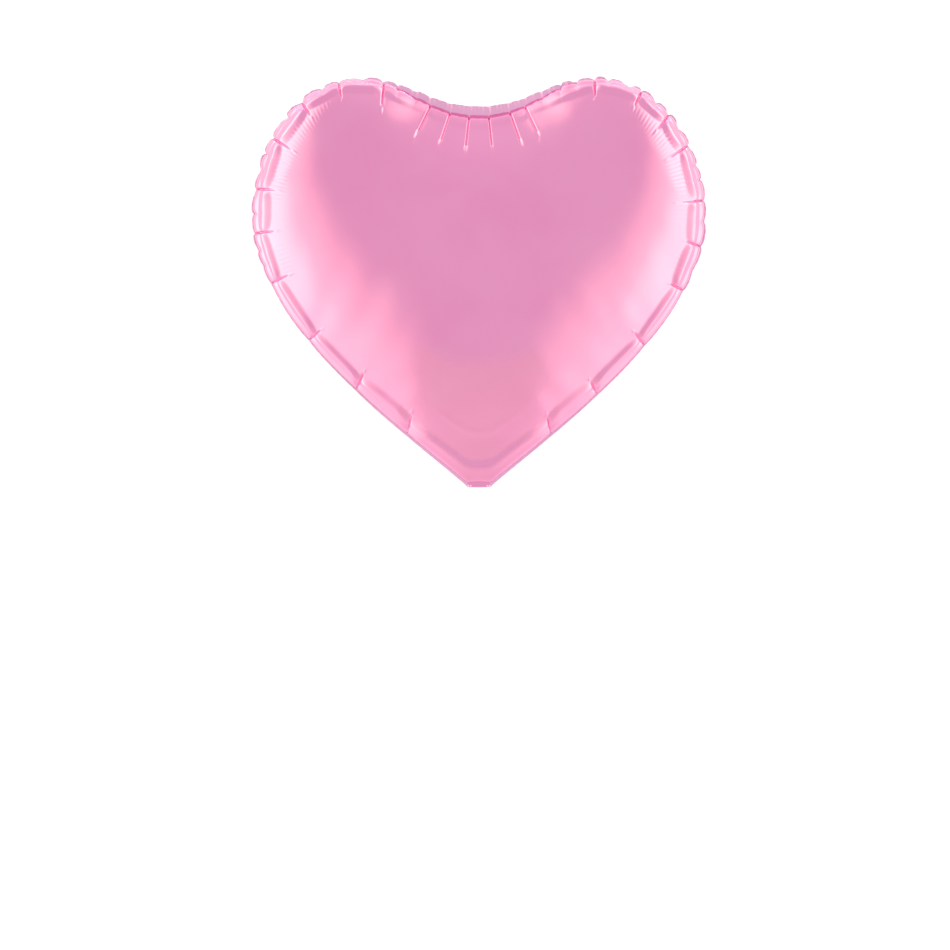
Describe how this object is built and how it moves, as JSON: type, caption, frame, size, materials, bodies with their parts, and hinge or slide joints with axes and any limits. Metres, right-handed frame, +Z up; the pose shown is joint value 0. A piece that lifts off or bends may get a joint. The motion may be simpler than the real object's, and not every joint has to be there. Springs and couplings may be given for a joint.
{
  "type": "foil balloon",
  "caption": "Heart-shaped foil balloon with domed film panels, a heat-sealed rim, and a folding filling neck that holds a flat one-way valve.",
  "frame": {"origin": "middle of the heart's blunt tip, in the seam plane, where the neck folds and is tied", "axes": "+Z up through the cleft, +X along the heart's width, front panel facing -Y"},
  "size_m": [0.4, 0.156, 0.36],
  "materials": {
    "foil_panel": "satin metallised film, pink",
    "foil_seal": "pressed heat seal in the same pink film",
    "valve_film": "clear polyethylene film"
  },
  "bodies": {
    "envelope": {"front_panel": "foil_panel", "back_panel": "foil_panel", "heat_seal_rim": "foil_seal", "valve_inside_front_film": "valve_film", "valve_inside_back_film": "valve_film", "valve_inside_side_welds": "valve_film"},
    "neck": {"neck_front_ply": "foil_panel", "neck_back_ply": "foil_panel", "neck_side_seals": "foil_seal", "valve_neck_front_film": "valve_film", "valve_neck_back_film": "valve_film", "valve_neck_side_welds": "valve_film"}
  },
  "joints": [
    {"name": "neck_fold", "type": "hinge", "parent": "envelope", "child": "neck", "pos_m": [0, 0, 0], "axis": [1, 0, 0], "range_deg": [-138, 0]}
  ]
}
